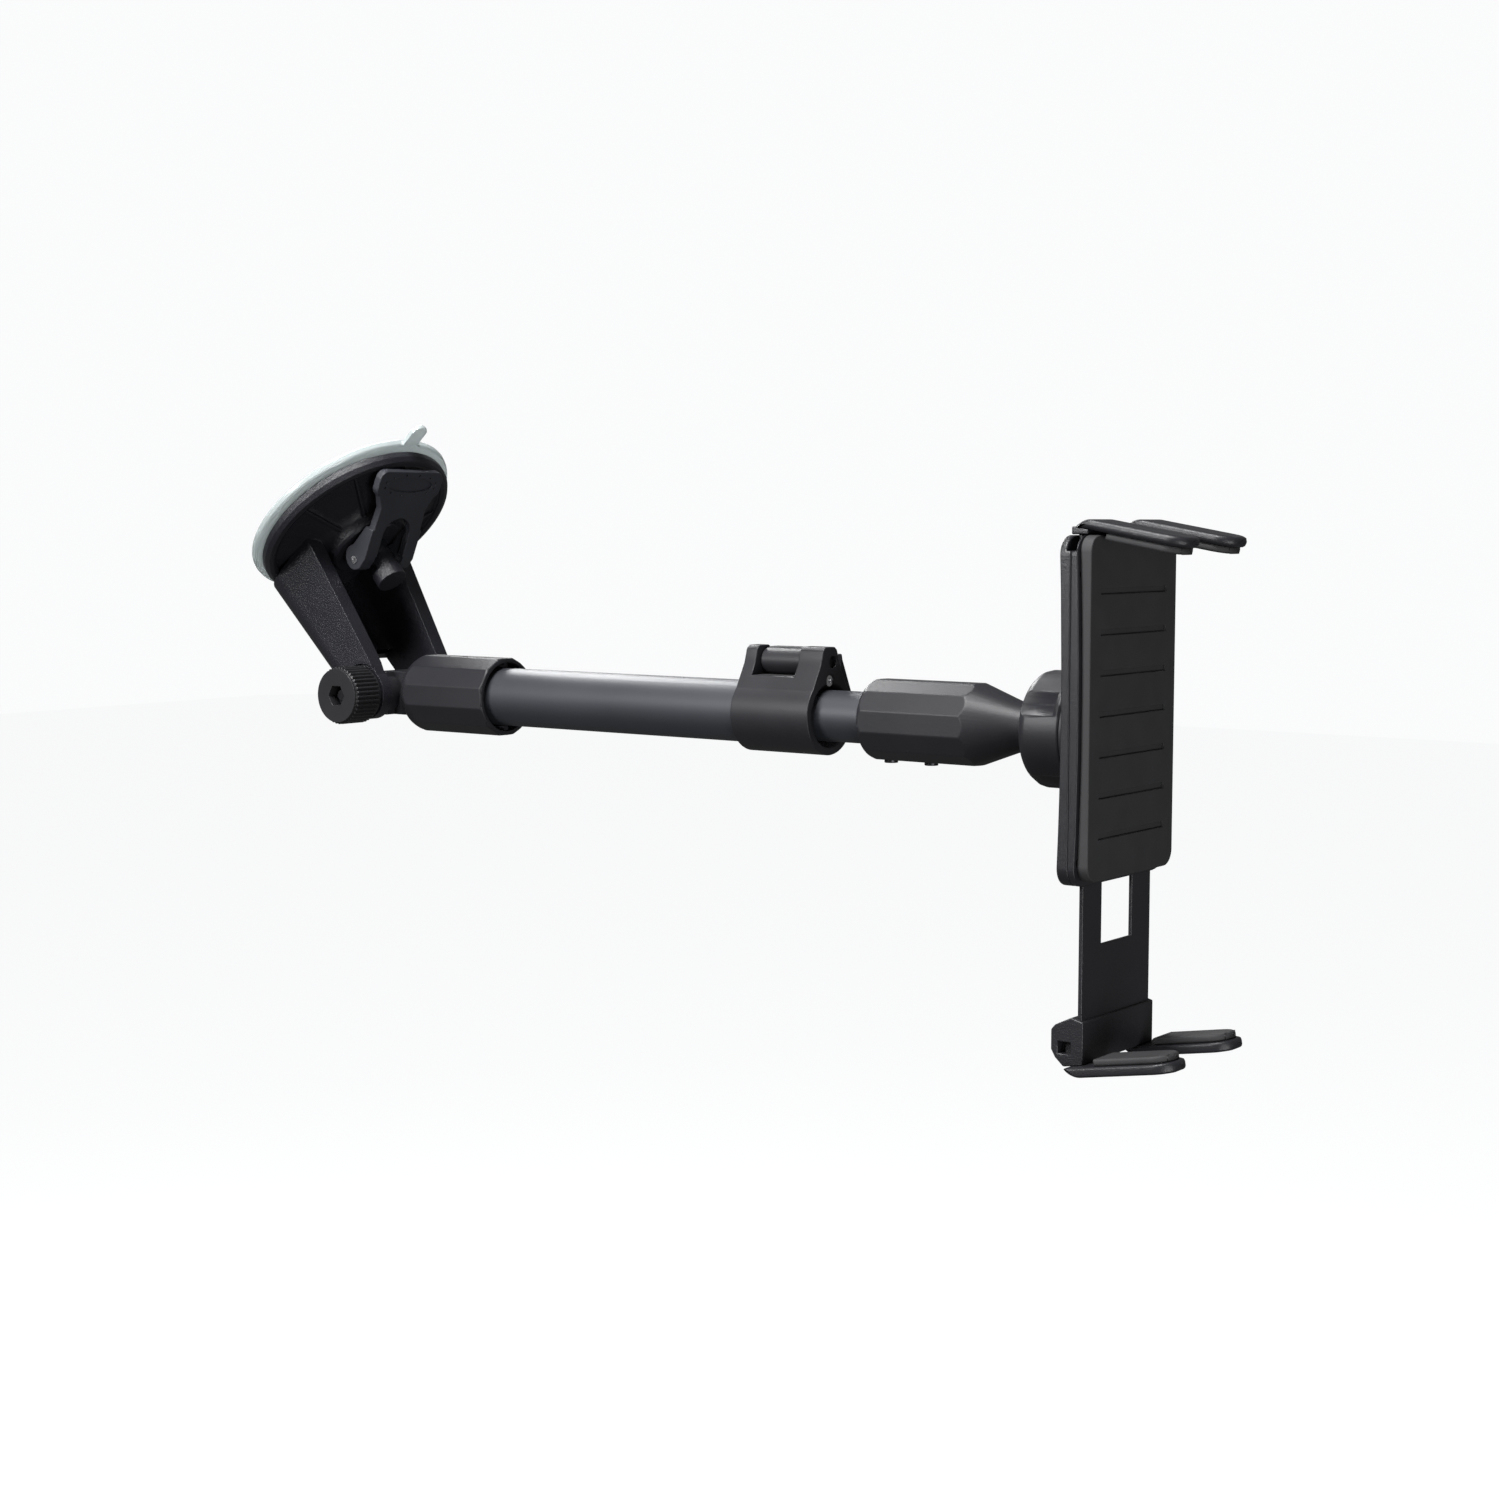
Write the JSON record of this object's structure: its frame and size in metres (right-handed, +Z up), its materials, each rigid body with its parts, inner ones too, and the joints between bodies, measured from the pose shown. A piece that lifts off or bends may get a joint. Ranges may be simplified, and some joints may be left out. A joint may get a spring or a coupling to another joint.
{
  "type": "car phone mount",
  "caption": "Windshield suction mount with a lever-locked cup, a pivoting telescopic arm, a ball joint with ring nut and a spring-loaded finger holder for a phone.",
  "frame": {"origin": "centre of the suction face, in the plane that touches the glass", "axes": "+Z up, +Y away from the driver towards the windshield, +X to the driver's right; the arm runs along -Y"},
  "size_m": [0.082, 0.3933, 0.1994],
  "materials": {
    "membrane": "clear soft moulded vinyl, glossy",
    "cup_plastic": "black moulded plastic with a fine grain",
    "lever_plastic": "dark grey moulded plastic with a fine grain",
    "steel": "bright zinc-plated steel",
    "dark_steel": "blackened steel",
    "nylon": "natural nylon",
    "knob_plastic": "black moulded plastic, satin",
    "gloss_plastic": "black moulded plastic, semi-gloss",
    "tube_metal": "satin black anodised aluminium",
    "shell_plastic": "black moulded plastic, satin",
    "soft_rubber": "matte black rubber"
  },
  "bodies": {
    "base": {"suction_membrane": "membrane", "base_housing": "cup_plastic", "pivot_bolt": "dark_steel", "pivot_washers": "nylon", "knob_washer": "dark_steel"},
    "stem": {"cup_stem": "cup_plastic", "lever_pin": "steel"},
    "lever": {"cup_lever": "lever_plastic"},
    "knob": {"knob": "knob_plastic", "knob_nut": "dark_steel"},
    "arm": {"arm_socket": "gloss_plastic", "socket_pin": "dark_steel", "outer_tube": "tube_metal", "clamp_collar": "gloss_plastic", "clamp_pin": "dark_steel", "clamp_screw": "steel"},
    "clamp_lever": {"clamp_lever": "gloss_plastic"},
    "shoe": {"brake_shoe": "soft_rubber"},
    "slider": {"tube_end_bush": "nylon"},
    "extension": {"inner_tube": "tube_metal", "ball_adapter": "gloss_plastic", "adapter_screws": "dark_steel"},
    "rear_liner": {"rear_ball_liner": "nylon"},
    "front_liner": {"front_ball_liner": "nylon"},
    "holder": {"socket_base": "gloss_plastic", "base_screws": "steel", "rear_shell": "shell_plastic", "front_shell": "shell_plastic", "front_pad": "soft_rubber", "shell_screws": "steel", "upper_spring": "steel", "lower_spring": "steel"},
    "nut": {"ring_nut": "gloss_plastic"},
    "upper_arm": {"upper_arm": "shell_plastic", "upper_left_finger": "shell_plastic", "upper_right_finger": "shell_plastic", "upper_left_pad": "soft_rubber", "upper_right_pad": "soft_rubber"},
    "lower_arm": {"lower_arm": "shell_plastic", "lower_left_finger": "shell_plastic", "lower_right_finger": "shell_plastic", "lower_left_pad": "soft_rubber", "lower_right_pad": "soft_rubber"}
  },
  "joints": [
    {"name": "lever_flip", "type": "hinge", "parent": "stem", "child": "lever", "pos_m": [0, -0.01542, -0.01774], "axis": [1, 0, 0], "range_deg": [0, 80]},
    {"name": "stem_slide", "type": "slide", "parent": "base", "child": "stem", "axis": [0, 0.6561, 0.7547], "range_m": [0, 0.002]},
    {"name": "knob_turn", "type": "hinge", "parent": "base", "child": "knob", "pos_m": [0, -0.02743, -0.06692], "axis": [1, 0, 0], "continuous": true},
    {"name": "arm_pivot", "type": "hinge", "parent": "base", "child": "arm", "pos_m": [0, -0.02743, -0.06692], "axis": [1, 0, 0], "range_deg": [-25, 95]},
    {"name": "clamp_flip", "type": "hinge", "parent": "arm", "child": "clamp_lever", "pos_m": [0.0015, -0.20773, -0.04952], "axis": [0, -1, 0], "range_deg": [0, 110]},
    {"name": "shoe_lift", "type": "slide", "parent": "arm", "child": "shoe", "axis": [0, 0, 1], "range_m": [0, 0.0004]},
    {"name": "tube_slide", "type": "slide", "parent": "arm", "child": "slider", "axis": [0, -1, 0], "range_m": [-0.016, 0.08]},
    {"name": "tube_twist", "type": "hinge", "parent": "slider", "child": "extension", "pos_m": [0, -0.12743, -0.06692], "axis": [0, 1, 0], "range_deg": [-180, 180]},
    {"name": "ball_tilt", "type": "hinge", "parent": "extension", "child": "rear_liner", "pos_m": [0, -0.31073, -0.06692], "axis": [1, 0, 0], "range_deg": [-18, 18]},
    {"name": "ball_pan", "type": "hinge", "parent": "rear_liner", "child": "front_liner", "pos_m": [0, -0.31073, -0.06692], "axis": [0, 0, 1], "range_deg": [-18, 18]},
    {"name": "ball_spin", "type": "hinge", "parent": "front_liner", "child": "holder", "pos_m": [0, -0.31073, -0.06692], "axis": [0, 1, 0], "continuous": true},
    {"name": "nut_turn", "type": "hinge", "parent": "holder", "child": "nut", "pos_m": [0, -0.31073, -0.06692], "axis": [0, 1, 0], "continuous": true},
    {"name": "upper_arm_slide", "type": "slide", "parent": "holder", "child": "upper_arm", "axis": [0, 0, 1], "range_m": [0, 0.035], "stiffness_N_per_m": 250, "deforming": ["upper_spring"]},
    {"name": "lower_arm_slide", "type": "slide", "parent": "holder", "child": "lower_arm", "axis": [0, 0, 1], "range_m": [0, 0.035], "stiffness_N_per_m": 250, "deforming": ["lower_spring"]}
  ],
  "couplings": [
    {"joint": "lever_flip", "follows": "stem_slide", "rad_per_m": 698.13},
    {"joint": "clamp_flip", "follows": "shoe_lift", "rad_per_m": 4799.6}
  ]
}
